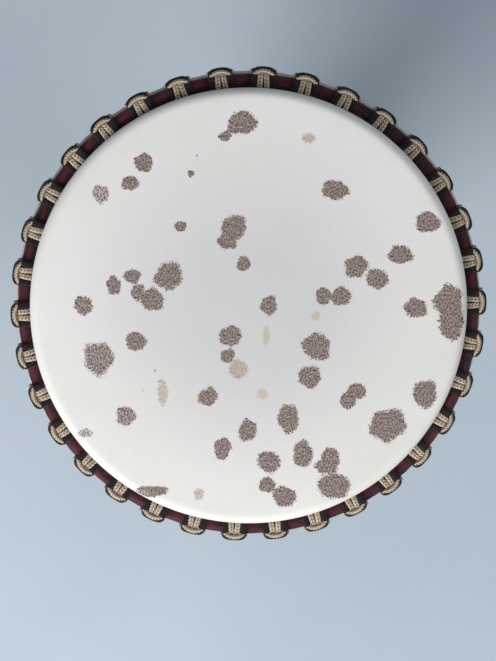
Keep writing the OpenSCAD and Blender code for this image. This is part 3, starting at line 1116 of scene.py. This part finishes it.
@dataclass
class HideHairs:
    """Goat hair left on the edge of the hide, outside the crown ring."""

    flesh: Ring = field(default_factory=lambda: Ring.of("flesh_ring"))
    # Distance of the hairs' roots from the flesh ring's centre.
    hide_r: float = 5.5 * MM
    count: int = 1500
    length: tuple = (1.2 * MM, 4.2 * MM)
    root: float = 0.14 * MM

    def build(self, finishes: Finishes) -> Piece:
        """Models the hairs as thin bent cones.

        Args:
            finishes: the drum's finishes.

        Returns:
            The finished piece.
        """
        rng = np.random.default_rng(SEED + 1)
        points: list[tuple] = []
        faces: list[tuple] = []
        for _ in range(self.count):
            around = rng.uniform(0, 2 * math.pi)
            level = math.radians(rng.uniform(5, 95))
            length = rng.uniform(*self.length) * (0.6 if rng.random() < 0.7 else 1.0)
            r, z = self.flesh.around(math.degrees(level), self.hide_r)
            flat = math.cos(level)
            out = Vector((math.cos(around) * flat, math.sin(around) * flat, math.sin(level)))
            along = Vector((-math.sin(around), math.cos(around), 0))
            lean = (out * 0.35 + along * rng.choice((-1.0, 1.0)) * rng.uniform(0.5, 1.3)
                    + Vector((0, 0, rng.uniform(-0.5, 0.25)))).normalized()
            side = lean.cross(out).normalized()
            base = Vector((r * math.cos(around), r * math.sin(around), z)) - out * 0.3 * MM
            first = len(points)
            for share, size in ((0.0, 1.0), (0.5, 0.7)):
                middle = base + lean * length * share + out * length * 0.12 * share
                for turn in (0.0, 2.1, 4.2):
                    spread = (side * math.cos(turn) + out * math.sin(turn)) * self.root * size
                    points.append(tuple(middle + spread))
            points.append(tuple(base + lean * length - out * length * 0.05))
            for k in range(3):
                n = (k + 1) % 3
                faces.append((first + k, first + n, first + 3 + n, first + 3 + k))
                faces.append((first + 3 + k, first + 3 + n, first + 6))
            faces.append((first + 2, first + 1, first))
        mesh = bpy.data.meshes.new("hide_hairs")
        mesh.from_pydata(points, [], faces)
        piece = bpy.data.objects.new("hide_hairs", mesh)
        bpy.context.scene.collection.objects.link(piece)
        with editing(piece):
            bpy.ops.mesh.normals_make_consistent(inside=False)
        dress(piece, finishes.hair)
        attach(piece, Body.HOOPS.value)
        report(piece)
        return piece


# ---------------------------------------------------------------- wound cloth


@dataclass
class ClothWrap:
    """A strip of cloth wound round a ring, each turn lying half on the one before."""

    name: str
    ring: Ring
    node: str
    body: Body
    cloth: float = 0.8 * MM
    turn_pitch: float = 11 * MM
    lip: float = 0.35 * MM
    along: int = 900
    around: int = 20

    def build(self, finishes: Finishes) -> Piece:
        """Models the winding on a torus and dresses it.

        Args:
            finishes: the drum's finishes.

        Returns:
            The finished piece.
        """
        deselect()
        bpy.ops.mesh.primitive_torus_add(major_segments=self.along, minor_segments=self.around,
                                         major_radius=self.ring.radius,
                                         minor_radius=self.ring.bar + self.cloth, generate_uvs=True)
        piece = bpy.context.object
        piece.name = self.name
        points = vertices_of(piece)
        angle = np.arctan2(points[:, 1], points[:, 0])
        radius = np.hypot(points[:, 0], points[:, 1])
        bar_angle = np.arctan2(points[:, 2], radius - self.ring.radius)
        turns = round(2 * math.pi * self.ring.radius / self.turn_pitch)
        phase = (angle * turns + bar_angle) / (2 * math.pi)
        rise = (phase - np.floor(phase))
        wrinkle = 0.5 * np.sin(5 * bar_angle + 40 * angle) + 0.5 * np.sin(3 * bar_angle - 97 * angle)
        size = self.ring.bar + self.cloth - self.lip * rise + 0.1 * MM * wrinkle
        flat = self.ring.radius + size * np.cos(bar_angle)
        points[:, 0], points[:, 1] = flat * np.cos(angle), flat * np.sin(angle)
        points[:, 2] = self.ring.z + size * np.sin(bar_angle)
        move_vertices(piece, points)
        smooth(piece)
        dress(piece, finishes.cloth)
        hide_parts(self.node)
        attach(piece, self.body.value)
        report(piece)
        return piece


# ---------------------------------------------------------------- hitches


@dataclass(frozen=True)
class CordSize:
    """Width and thickness of a hitch cord pressed flat, and how far it lies from its ring's centre."""

    width: float = 4.3 * MM
    thick: float = 2.8 * MM
    lie: float = 6.35 * MM


@dataclass(frozen=True)
class Wrap:
    """One place along a hitch: angle round the ring's bar, distance from its centre, place along the ring
    and width. The distance and the place are in millimetres, and the width is a share of the cord's.
    """

    angle: float
    away: float
    aside: float
    width: float = 1.0


@dataclass
class HitchChain:
    """One cord tied round a ring at every hitch, with a loop between each two."""

    name: str
    node: str
    slot: str
    body: Body
    ring: Ring
    up: int
    hip: tuple[float, float]
    way: tuple[float, float]
    aside: float
    reach: float
    wraps: list
    cord: CordSize = CordSize()
    offset: float = 0.0
    # Angles round the flesh ring at which the cord crosses the hide, and how far it lies from that centre.
    over_hide: tuple = ()
    hide_lie: float = 7.1 * MM
    hand: float = 0.3 * MM
    spacing: float = 0.75 * MM
    sides: int = 10
    braid: Braid = Braid(4, 2.25 * MM, 0.1)

    def loop_rows(self) -> Rows:
        """Rows along the loop on the left.

        Returns:
            Rows of radius, turn, height, normal and width, from the loop's round end up to the hip.
        """
        turn = self.aside / self.ring.radius
        size = self.hip[0] * math.sin(STEP / 2 - turn)
        line = self.hip[0] * math.cos(STEP / 4)
        sink = self.reach - size
        normal = (abs(self.way[1]), -math.copysign(1, self.way[1]) * self.way[0])
        rows = []
        for a in np.radians(np.arange(-15, 91, 15)):
            rows.append((sink + size * math.cos(a), size * math.sin(a)))
        for s in np.linspace(sink, 0, max(2, round(sink / (4 * MM))) + 1)[1:]:
            rows.append((s, size))
        made = []
        for s, t in rows:
            x, z = line + self.way[0] * s, self.hip[1] + self.way[1] * s
            made.append([math.hypot(x, t), -STEP / 2 + math.atan2(t, x), z, normal[0], normal[1], 1.0])
        return made

    def facing(self) -> int:
        """1 where the cord shows its outer side on the ring too, -1 where crossing the hide turns it over."""
        return -1 if self.over_hide else 1

    def hide_rows(self) -> Rows:
        """Rows over the hide on the flesh ring.

        Returns:
            Rows as along the loop, from the hip to the gap under the crown ring.
        """
        flesh = Ring.of("flesh_ring")
        made = []
        for angle in self.over_hide:
            r, z = flesh.around(angle, self.hide_lie)
            turn = math.radians(angle)
            made.append([r, -self.aside / self.ring.radius, z, math.cos(turn), math.sin(turn), 1.0])
        return made

    def wrap_rows(self) -> Rows:
        """Rows round the ring.

        Returns:
            Rows as along the loop, up to the middle of the bight.
        """
        made = []
        for w in self.wraps:
            r, z = self.ring.around(w.angle, w.away * MM, self.up)
            turn = math.radians(w.angle)
            out = self.facing() * np.array([math.cos(turn), self.up * math.sin(turn)])
            made.append([r, -w.aside * MM / self.ring.radius, z, out[0], out[1], w.width])
        return made

    def path(self) -> tuple[np.ndarray, np.ndarray, np.ndarray]:
        """The whole closed path.

        Returns:
            Its points, its normals and the cord's width at each point.
        """
        left = np.array(self.loop_rows() + self.hide_rows() + self.wrap_rows())
        right = left[::-1][1:].copy()
        right[:, 1] *= -1
        keys = np.vstack([left, right])
        keys[:, 1] *= self.ring.radius
        unit = smooth_path(keys, self.spacing)[:-1]
        turn = unit[:, 1] / self.ring.radius + self.offset
        points = np.column_stack([unit[:, 0] * np.cos(turn), unit[:, 0] * np.sin(turn), unit[:, 2]])
        normals = np.column_stack([unit[:, 3] * np.cos(turn), unit[:, 3] * np.sin(turn), unit[:, 4]])
        tied = np.sin(np.linspace(0, math.pi, len(points)))[:, None] ** 2
        sideways = np.cross(np.array([[0.0, 0.0, 1.0]]), normals)
        rng = np.random.default_rng(SEED + 2)
        all_points, all_normals = [], []
        for i in range(HITCHES):
            shift, swell, skew = rng.uniform(-1, 1, 3) * self.hand
            placed = points + tied * (sideways * shift + normals * (self.facing() * abs(swell) * tied))
            placed[:, 2] += tied[:, 0] * skew * np.sin(np.linspace(-math.pi, math.pi, len(points)))
            all_points.append(turned(placed, i * STEP))
            all_normals.append(turned(normals, i * STEP))
        return np.vstack(all_points), np.vstack(all_normals), np.tile(unit[:, 5] * self.cord.width, HITCHES)

    def build(self, material: bpy.types.Material) -> Piece:
        """Models the cord along its path and dresses it.

        Args:
            material: the cord's finish.

        Returns:
            The finished piece.
        """
        points, normals, width = self.path()
        piece = sweep(self.name, points, normals, width, self.cord.thick, self.sides, self.braid)
        dress(piece, material)
        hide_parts(self.node)
        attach(piece, self.body.value)
        report(piece)
        return piece


# ---------------------------------------------------------------- lacing


@dataclass
class Lacing:
    """The tension rope, one closed zigzag from crown loops to base loops, and the rope woven through it."""

    crown_hip: tuple[float, float]
    crown_way: tuple[float, float]
    base_hip: tuple[float, float]
    base_way: tuple[float, float]
    crown_reach: float
    base_reach: float
    row_r: float = ROW[0]
    row_z: float = ROW[1]
    moving_z: float = 555 * MM
    rope: float = 4.8 * MM
    braid: Braid = Braid(8, 2.6 * MM, 0.0)
    layer: float = 5.3 * MM
    hook: float = 4.0 * MM
    lean: float = 0.46
    clear: float = 2.75 * MM
    spacing: float = 2.2 * MM

    def hook_rows(self, hip: tuple, way: tuple, reach: float, angle: float, outward: bool) -> Rows:
        """Rows round the end of one loop.

        Args:
            hip: radius and height where the loop leaves its ring.
            way: the direction in which the loop hangs or stands.
            reach: length of the loop from the hip.
            angle: the loop's place round the drum.
            outward: True where the rope goes from behind the loop to the front.

        Returns:
            Rows of radius, turn and height.
        """
        line = hip[0] * math.cos(STEP / 4)
        inside = reach - self.clear
        middle = np.array([line + way[0] * inside, hip[1] + way[1] * inside])
        out = np.array([abs(way[1]), -math.copysign(1, way[1]) * way[0]])
        tip = -np.array(way)
        rows = []
        for a in np.radians(np.linspace(-20, 200, 12)):
            p = middle + self.hook * (out * math.cos(a) + tip * math.sin(a))
            rows.append([p[0], angle, p[1]])
        return rows[::-1] if outward else rows

    def rows(self) -> np.ndarray:
        """One whole zig and zag.

        Returns:
            Rows of radius, turn and height, from the crown loop on the left to the one on the right.
        """
        made = []
        turn = self.lean * STEP / 2
        made += self.hook_rows(self.crown_hip, self.crown_way, self.crown_reach, -STEP / 2, False)
        made.append([self.row_r - self.layer, turn, self.row_z])
        made += self.hook_rows(self.base_hip, self.base_way, self.base_reach, 0.0, True)
        made.append([self.row_r + self.layer, -turn, self.row_z])
        return np.array(made)

    def straightened(self, rows: np.ndarray) -> np.ndarray:
        """Adds points along the straight runs, so that the curve through them stays straight.

        Args:
            rows: rows of radius, turn and height.

        Returns:
            Points in space.
        """
        radius, turn, z = rows.T
        points = np.column_stack([radius * np.cos(turn), radius * np.sin(turn), z])
        made = [points[0]]
        for a, b in zip(points, points[1:]):
            parts = max(1, int(np.linalg.norm(b - a) / (9 * MM)))
            made += [a + (b - a) * k / parts for k in range(1, parts + 1)]
        return np.array(made)

    def build_rope(self, finishes: Finishes) -> Piece:
        """Models the tension rope and dresses it.

        Args:
            finishes: the drum's finishes.

        Returns:
            The finished piece.
        """
        rows = self.rows()
        copies = []
        for i in range(HITCHES):
            copy = rows.copy()
            copy[:, 1] += i * STEP
            copies.append(copy)
        whole = np.vstack(copies + [rows[:1]])
        points = self.straightened(whole)[:-1]
        keys = np.vstack([points[-1:], points, points[:2]])
        path = smooth_path(keys, self.spacing)[:-1]
        normals = np.column_stack([path[:, 0], path[:, 1], np.zeros(len(path))])
        normals /= np.linalg.norm(normals, axis=1)[:, None]
        tangent = np.roll(path, -1, axis=0) - np.roll(path, 1, axis=0)
        tangent /= np.linalg.norm(tangent, axis=1)[:, None]
        side = np.column_stack([-normals[:, 1], normals[:, 0], np.zeros(len(path))])
        facing = np.cross(side, tangent)
        width = np.full(len(path), self.rope)
        piece = sweep("tension_rope_lacing", path, facing, width, self.rope, 10, self.braid)
        dress(piece, finishes.rope)
        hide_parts("tension_rope")
        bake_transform(piece)
        report(piece)
        return piece

    def build_weave(self, finishes: Finishes) -> Piece:
        """Models the woven row, which passes behind each front strand and in front of each strand behind.

        Args:
            finishes: the drum's finishes.

        Returns:
            The finished piece.
        """
        turns = np.linspace(0, 2 * math.pi, HITCHES * 16, endpoint=False)
        phase = turns / STEP * 2 * math.pi
        radius = self.row_r + 0.5 * MM * np.sin(phase)
        z = self.row_z + 1.3 * MM * np.sin(phase + 0.4)
        path = np.column_stack([radius * np.cos(turns), radius * np.sin(turns), z])
        normals = np.column_stack([np.cos(turns), np.sin(turns), np.zeros(len(turns))])
        piece = sweep("woven_row", path, normals, np.full(len(path), self.rope), self.rope, 12, self.braid)
        dress(piece, finishes.rope)
        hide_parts("weave_rope")
        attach(piece, Body.SHELL.value)
        report(piece)
        return piece


# ---------------------------------------------------------------- foot


@dataclass
class FootStrip:
    """The rubber strip round the foot, with rounded edges and two worn ribs."""

    foot_r: float = 126 * MM
    thick: float = 4 * MM
    height: float = 26 * MM
    slope: float = 0.12
    corner: float = 1.2 * MM
    steps: int = 200

    def build(self, finishes: Finishes) -> Piece:
        """Models the strip and dresses it.

        Args:
            finishes: the drum's finishes.

        Returns:
            The finished piece.
        """
        inner = self.foot_r + TOUCH
        face = [(0.0, -self.corner), (self.corner * 0.3, -self.corner * 0.3), (self.corner, 0.0)]
        middle = self.height / 2
        for rib in (middle - 7 * MM, middle + 7 * MM):
            face += [(rib - 1.2 * MM, 0.0), (rib - 0.6 * MM, -0.7 * MM), (rib + 0.6 * MM, -0.7 * MM),
                     (rib + 1.2 * MM, 0.0)]
        face += [(self.height - self.corner, 0.0), (self.height - self.corner * 0.3, -self.corner * 0.3),
                 (self.height, -self.corner)]
        outline = [(inner, 0.0)]
        outline += [(inner + self.thick + cut - self.slope * z, z) for z, cut in face]
        outline.append((inner - self.slope * self.height, self.height))
        piece = lathe("foot_rubber_strip", outline, self.steps, closed=True)
        smooth(piece, 40)
        dress(piece, finishes.rubber)
        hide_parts("foot_rubber")
        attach(piece, Body.SHELL.value)
        report(piece)
        return piece


# ---------------------------------------------------------------- studio


@dataclass
class Studio:
    """The floor, the soft lights and the camera over the drum's head."""

    head_z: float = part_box("drum_head")[1].z
    distance: float = 0.9
    tilt: float = math.radians(6.05)
    aim: tuple[float, float] = (-0.0009, -0.0152)
    lens: float = 65.68
    floor_size: float = 8.0
    sky: tuple = (0.80, 0.87, 0.95, 1)
    sky_strength: float = 0.29

    def floor(self, finishes: Finishes) -> None:
        """Lays the floor.

        Args:
            finishes: the finishes, with the floor's own.
        """
        deselect()
        bpy.ops.mesh.primitive_plane_add(size=self.floor_size, location=(0, 0, -0.2 * MM))
        floor = bpy.context.object
        floor.name = "floor"
        with editing(floor):
            bpy.ops.mesh.subdivide(number_cuts=8)
        dress(floor, finishes.floor)

    def lamp(self, name: str, place: tuple, target: tuple, size: float, power: float, tint: tuple) -> None:
        """Hangs one soft square light.

        Args:
            name: name of the light.
            place: where it hangs.
            target: what it faces.
            size: length of its side.
            power: its power in watts.
            tint: its colour.
        """
        deselect()
        bpy.ops.object.light_add(type="AREA", location=place)
        lamp = bpy.context.object
        lamp.name = name
        lamp.data.size = size
        lamp.data.energy = power
        lamp.data.color = tint
        lamp.rotation_euler = (Vector(target) - Vector(place)).to_track_quat("-Z", "Y").to_euler()

    def build(self, finishes: Finishes) -> None:
        """Builds the floor, the world, the lights and the camera.

        Args:
            finishes: the finishes, with the floor's own.
        """
        self.floor(finishes)
        head = (0, 0, self.head_z)
        self.lamp("key_light", (-1.15, -1.5, 1.9), head, 1.3, 54, (1.0, 0.985, 0.965))
        self.lamp("fill_light", (1.5, -0.7, 2.1), head, 1.8, 14, (0.95, 0.98, 1.0))
        world = bpy.data.worlds.new("studio")
        world.use_nodes = True
        world.node_tree.nodes["Background"].inputs["Color"].default_value = self.sky
        world.node_tree.nodes["Background"].inputs["Strength"].default_value = self.sky_strength
        bpy.context.scene.world = world
        bpy.context.scene.view_settings.view_transform = "Standard"
        self.camera()

    def camera(self) -> None:
        """Hangs the camera over the head, a little to its far side and turned with the drum's hitches."""
        deselect()
        aim = Vector((self.aim[0], self.aim[1], self.head_z))
        place = aim + Vector((0, self.distance * math.tan(self.tilt), self.distance))
        bpy.ops.object.camera_add(location=place)
        camera = bpy.context.object
        look = (aim - place).normalized()
        right = look.cross(Vector((0, 1, 0))).normalized()
        up = right.cross(look)
        turn = Matrix.Rotation(CAMERA_ROLL, 3, look)
        right, up = turn @ right, turn @ up
        camera.rotation_euler = Matrix((right, up, -look)).transposed().to_euler()
        camera.data.lens = self.lens
        camera.data.sensor_width = 36
        camera.data.clip_start = 0.05
        bpy.context.scene.camera = camera


# ---------------------------------------------------------------- the drum


def leave_angle(centre: tuple, radius: float, point: tuple, side: int) -> float:
    """Angle in degrees at which a line from a point leaves a circle, on the side away from the drum."""
    dx, dz = point[0] - centre[0], point[1] - centre[1]
    return math.degrees(math.atan2(dz, dx) + side * math.acos(radius / math.hypot(dx, dz)))


@dataclass
class HandDrum:
    """The whole drum: its shell, its head and all that ties the one to the other."""

    # Half the thickness of a cord on the hide, and the gap under it.
    cord_on_hide: float = 1.4 * MM
    hide_gap: float = 0.1 * MM
    # How far past its last touch a cord leaves each ring, and how far the loops reach from the rings.
    crown_rise: float = 3 * MM
    base_rise: float = 4 * MM
    crown_loop: float = 38 * MM
    base_loop: float = 27 * MM

    def __post_init__(self) -> None:
        """Reads the rings' places and works out the lines along which the cords run."""
        self.crown = Ring.of("crown_ring")
        self.base = Ring.of("base_ring")
        self.flesh = Ring.of("flesh_ring")
        hip_r = self.flesh.bar + HIDE + self.hide_gap + self.cord_on_hide
        angle = leave_angle((self.flesh.radius, self.flesh.z), hip_r, ROW, 1)
        touch = self.flesh.around(angle, hip_r)
        self.crown_way = self.direction(touch, ROW)
        self.crown_hip = tuple(t - w * self.crown_rise for t, w in zip(touch, self.crown_way))
        base_angle = leave_angle((self.base.radius, self.base.z), CordSize().lie, ROW, -1)
        base_touch = self.base.around(base_angle, CordSize().lie)
        self.base_way = self.direction(base_touch, ROW)
        self.base_hip = tuple(t + w * self.base_rise for t, w in zip(base_touch, self.base_way))
        self.crown_reach = (self.crown_hip[1] - self.crown.z + self.crown_loop) / -self.crown_way[1]
        self.base_reach = (self.base.z + self.base_loop - self.base_hip[1]) / self.base_way[1]

    @staticmethod
    def direction(start: tuple, end: tuple) -> tuple[float, float]:
        """Unit vector from one point to another."""
        length = math.hypot(end[0] - start[0], end[1] - start[1])
        return (end[0] - start[0]) / length, (end[1] - start[1]) / length

    def crown_tan(self) -> HitchChain:
        """The tan cord on the crown ring: its legs lie side by side over the ring, under its bight.

        Returns:
            The chain of hitches, ready to build.
        """
        wraps = [Wrap(20, 6.3, 2.25), Wrap(45, 6.3, 2.15), Wrap(68, 6.35, 2.2), Wrap(90, 6.35, 2.35),
                 Wrap(115, 6.35, 2.6), Wrap(140, 6.35, 2.8), Wrap(165, 6.35, 2.85), Wrap(190, 6.3, 2.85),
                 Wrap(215, 6.3, 2.85), Wrap(240, 6.2, 3.2, 0.9), Wrap(262, 6.1, 4.8, 0.8),
                 Wrap(285, 6.1, 7.0, 0.8),
                 Wrap(315, 6.2, 8.6, 0.7), Wrap(345, 6.2, 9.0, 0.6), Wrap(372, 6.3, 9.0, 0.5),
                 Wrap(400, 6.6, 8.8, 0.4), Wrap(421, 7.4, 7.9, 0.36), Wrap(421, 8.2, 6.4, 0.5),
                 Wrap(415, 8.9, 4.4, 0.64), Wrap(411, 9.2, 2.2, 0.76), Wrap(410, 9.3, 0, 0.8)]
        return HitchChain("crown_cord_tan", "crown_hitches_tan", "cord_tan", Body.HOOPS, self.crown, 1,
                          self.crown_hip, self.crown_way, 2.4 * MM, self.crown_reach, wraps)

    def crown_black(self) -> HitchChain:
        """The black cord on the crown ring: it comes up behind the ring, with its bight outside the tan one.

        Returns:
            The chain of hitches, ready to build.
        """
        wraps = [Wrap(-98, 6.2, 7.2), Wrap(-125, 6.25, 7.2), Wrap(-150, 6.3, 7.2), Wrap(-175, 6.3, 7.25),
                 Wrap(-200, 6.3, 7.3), Wrap(-225, 6.3, 7.3), Wrap(-250, 6.3, 7.2), Wrap(-268, 6.45, 7.1),
                 Wrap(-284, 7.1, 7.2), Wrap(-298, 7.9, 7.3, 0.95), Wrap(-311, 8.4, 7.1, 0.88),
                 Wrap(-323, 8.75, 6.2, 0.8), Wrap(-334, 9.0, 4.4, 0.76), Wrap(-341, 9.1, 2.2, 0.76),
                 Wrap(-343, 9.15, 0, 0.76)]
        return HitchChain("crown_cord_black", "crown_hitches_black", "cord_black", Body.HOOPS, self.crown, 1,
                          self.crown_hip, self.crown_way, 7.2 * MM, self.crown_reach, wraps,
                          cord=CordSize(thick=2.1 * MM), over_hide=(30, 52, 74))

    def base_tan(self) -> HitchChain:
        """The tan cord on the base ring, tied as on the crown ring but upside down.

        Returns:
            The chain of hitches, ready to build.
        """
        wraps = [Wrap(18, 6.3, 2.4), Wrap(45, 6.3, 2.4), Wrap(68, 6.35, 2.4), Wrap(90, 6.35, 2.4),
                 Wrap(120, 6.35, 2.4), Wrap(150, 6.35, 2.4), Wrap(180, 6.3, 2.4), Wrap(210, 6.3, 2.4),
                 Wrap(240, 6.3, 2.7, 0.9), Wrap(265, 6.3, 4.0, 0.8), Wrap(290, 6.3, 5.6, 0.75),
                 Wrap(320, 6.3, 6.2, 0.7), Wrap(350, 6.6, 6.2, 0.7), Wrap(375, 7.6, 5.6, 0.7),
                 Wrap(387, 8.8, 3.9, 0.84), Wrap(388, 9.35, 1.9, 0.95), Wrap(388, 9.4, 0, 0.95)]
        return HitchChain("base_cord_tan", "base_hitches", "cord_tan", Body.SHELL, self.base, -1,
                          self.base_hip, self.base_way, 2.4 * MM, self.base_reach, wraps, offset=STEP / 2)

    def build(self, finishes: Finishes) -> None:
        """Builds every piece of the drum and dresses the nodes that stay.

        Args:
            finishes: the drum's finishes.
        """
        CarvedShell().build(finishes)
        GoatskinHead().build(finishes)
        HideHairs().build(finishes)
        ClothWrap("crown_cloth_wrap", self.crown, "crown_ring_cloth", Body.HOOPS).build(finishes)
        ClothWrap("base_cloth_wrap", self.base, "base_ring_cloth", Body.SHELL, along=600).build(finishes)
        self.crown_tan().build(finishes.tan_cord)
        self.crown_black().build(finishes.black_cord)
        self.base_tan().build(finishes.tan_cord)
        lacing = Lacing(self.crown_hip, self.crown_way, self.base_hip, self.base_way, self.crown_reach,
                        self.base_reach)
        lacing.build_rope(finishes)
        lacing.build_weave(finishes)
        FootStrip().build(finishes)
        for node in ("flesh_ring", "crown_ring", "base_ring"):
            dress_node(node, finishes.iron)
        dress_node("foot_tacks", finishes.tack)


def main() -> None:
    """Builds the studio and the drum."""
    finishes = Finishes()
    Studio().build(finishes)
    HandDrum().build(finishes)
    deselect()


if __name__ == "__main__":
    main()
